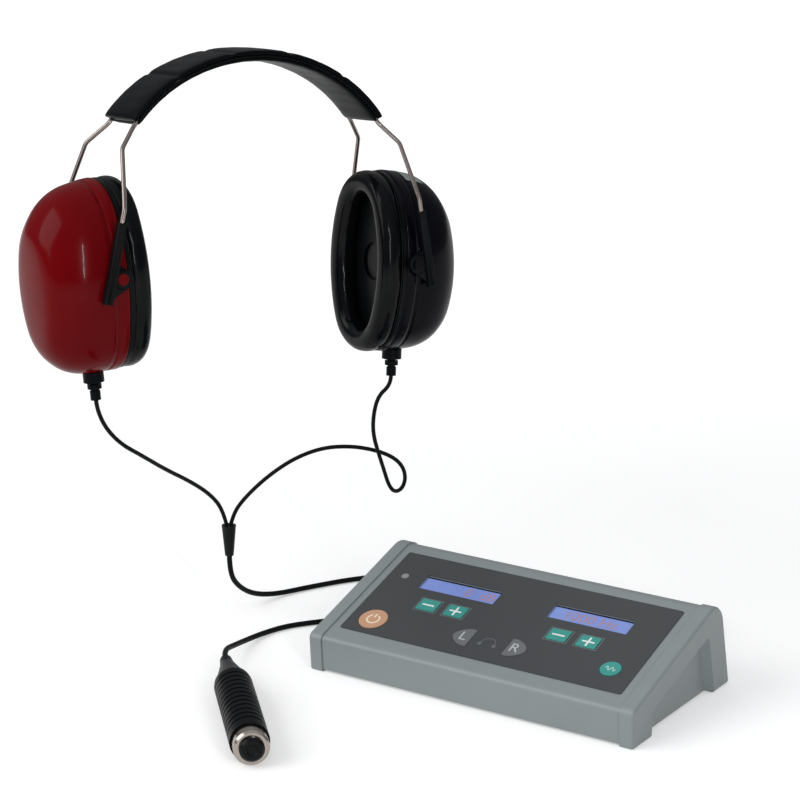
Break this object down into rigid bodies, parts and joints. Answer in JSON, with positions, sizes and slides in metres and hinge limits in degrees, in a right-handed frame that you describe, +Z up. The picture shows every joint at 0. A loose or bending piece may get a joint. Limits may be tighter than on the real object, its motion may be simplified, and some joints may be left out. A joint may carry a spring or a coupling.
{
  "type": "audiometer",
  "caption": "Desk audiometer: sloped console with membrane keys and displays, a corded response handle, and a headset held as worn, with a red right cup and a dark left cup.",
  "frame": {"origin": "on the table, under the middle of the part without its free cords", "axes": "+Z up; +X to the console operator's right; +Y from the console's front to its rear"},
  "size_m": [0.3738, 0.3482, 0.364],
  "materials": {
    "case_grey": "fine textured moulded plastic",
    "film_dark": "printed satin film",
    "display_blue": "clear display glass over a blue field",
    "light_grey": "clear lens",
    "board_green": "solder-masked board",
    "dome_metal": "thin pressed domes",
    "key_teal": "printed satin",
    "key_grey": "printed satin",
    "key_orange": "printed satin",
    "screw_steel": "zinc-plated",
    "socket_black": "moulded, with plated nuts",
    "grip_rubber": "soft matt rubber",
    "nickel": "satin nickel plating",
    "button_black": "semi-gloss",
    "spring_steel": "bare spring wire",
    "band_vinyl": "glossy black vinyl",
    "slider_black": "moulded",
    "cup_red": "glossy deep red",
    "cup_dark": "glossy blue-black",
    "cushion_black": "glossy vinyl over foam",
    "foam": "open foam",
    "driver_black": "moulded earphone",
    "cord_black": "smooth flexible sheath"
  },
  "bodies": {
    "console": {"body_shell": "case_grey", "base_plate": "case_grey", "left_cheek": "case_grey", "right_cheek": "case_grey", "keypad_film": "film_dark", "level_display": "display_blue", "pitch_display": "display_blue", "status_light": "light_grey", "keypad_board": "board_green", "main_board": "board_green", "dome_switches": "dome_metal", "base_screws": "screw_steel", "board_screws": "screw_steel", "jack_sockets": "socket_black", "power_socket": "socket_black", "switch_block": "socket_black", "handle_core": "socket_black", "handle_grip": "grip_rubber", "handle_bezel": "nickel", "button_spring": "spring_steel", "front_wire": "spring_steel", "rear_wire": "spring_steel", "band_cover": "band_vinyl", "head_pad": "band_vinyl", "left_lead": "cord_black", "right_lead": "cord_black", "y_joint": "cord_black", "headset_cord": "cord_black", "headset_coil": "cord_black", "headset_plug": "cord_black", "response_cord": "cord_black", "response_coil": "cord_black", "response_plug": "cord_black"},
    "key_level_down": {"key_level_down": "key_teal"},
    "key_level_up": {"key_level_up": "key_teal"},
    "key_pitch_down": {"key_pitch_down": "key_teal"},
    "key_pitch_up": {"key_pitch_up": "key_teal"},
    "key_left_ear": {"key_left_ear": "key_grey"},
    "key_right_ear": {"key_right_ear": "key_grey"},
    "key_power": {"key_power": "key_orange"},
    "key_tone": {"key_tone": "key_teal"},
    "response_button": {"handle_button": "button_black"},
    "left_sliders": {"left_front_slider": "slider_black", "left_rear_slider": "slider_black"},
    "left_cup": {"left_pivot_pins": "cup_dark", "left_cup_shell": "cup_dark", "left_back_plate": "slider_black", "left_cushion": "cushion_black", "left_liner": "foam", "left_driver": "driver_black", "left_relief": "grip_rubber"},
    "right_sliders": {"right_front_slider": "slider_black", "right_rear_slider": "slider_black"},
    "right_cup": {"right_pivot_pins": "cup_red", "right_cup_shell": "cup_red", "right_back_plate": "slider_black", "right_cushion": "cushion_black", "right_liner": "foam", "right_driver": "driver_black", "right_relief": "grip_rubber"}
  },
  "joints": [
    {"name": "key_level_down_press", "type": "slide", "parent": "console", "child": "key_level_down", "axis": [0, 0.3095, -0.9509], "range_m": [0, 0.0005], "stiffness_N_per_m": 3000},
    {"name": "key_level_up_press", "type": "slide", "parent": "console", "child": "key_level_up", "axis": [0, 0.3095, -0.9509], "range_m": [0, 0.0005], "stiffness_N_per_m": 3000},
    {"name": "key_pitch_down_press", "type": "slide", "parent": "console", "child": "key_pitch_down", "axis": [0, 0.3095, -0.9509], "range_m": [0, 0.0005], "stiffness_N_per_m": 3000},
    {"name": "key_pitch_up_press", "type": "slide", "parent": "console", "child": "key_pitch_up", "axis": [0, 0.3095, -0.9509], "range_m": [0, 0.0005], "stiffness_N_per_m": 3000},
    {"name": "key_left_ear_press", "type": "slide", "parent": "console", "child": "key_left_ear", "axis": [0, 0.3095, -0.9509], "range_m": [0, 0.0005], "stiffness_N_per_m": 3000},
    {"name": "key_right_ear_press", "type": "slide", "parent": "console", "child": "key_right_ear", "axis": [0, 0.3095, -0.9509], "range_m": [0, 0.0005], "stiffness_N_per_m": 3000},
    {"name": "key_power_press", "type": "slide", "parent": "console", "child": "key_power", "axis": [0, 0.3095, -0.9509], "range_m": [0, 0.0005], "stiffness_N_per_m": 3000},
    {"name": "key_tone_press", "type": "slide", "parent": "console", "child": "key_tone", "axis": [0, 0.3095, -0.9509], "range_m": [0, 0.0005], "stiffness_N_per_m": 3000},
    {"name": "response_press", "type": "slide", "parent": "console", "child": "response_button", "axis": [-0.6884, 0.7254, 0], "range_m": [0, 0.002], "stiffness_N_per_m": 1200, "deforming": ["button_spring"]},
    {"name": "left_cup_height", "type": "slide", "parent": "console", "child": "left_sliders", "axis": [0.1124, 0.0784, -0.9906], "range_m": [-0.005, 0.025], "deforming": ["left_lead"]},
    {"name": "left_cup_tilt", "type": "hinge", "parent": "left_sliders", "child": "left_cup", "pos_m": [-0.06275, 0.11257, 0.22655], "axis": [-0.9112, 0.4057, -0.0713], "range_deg": [-12.5, 11.5], "deforming": ["left_lead"]},
    {"name": "right_cup_height", "type": "slide", "parent": "console", "child": "right_sliders", "axis": [-0.0428, -0.2654, -0.9632], "range_m": [-0.005, 0.025], "deforming": ["right_lead"]},
    {"name": "right_cup_tilt", "type": "hinge", "parent": "right_sliders", "child": "right_cup", "pos_m": [-0.145, -0.0696, 0.24105], "axis": [-0.9112, 0.4057, -0.0713], "range_deg": [-5.3, 18.7], "deforming": ["right_lead"]}
  ]
}
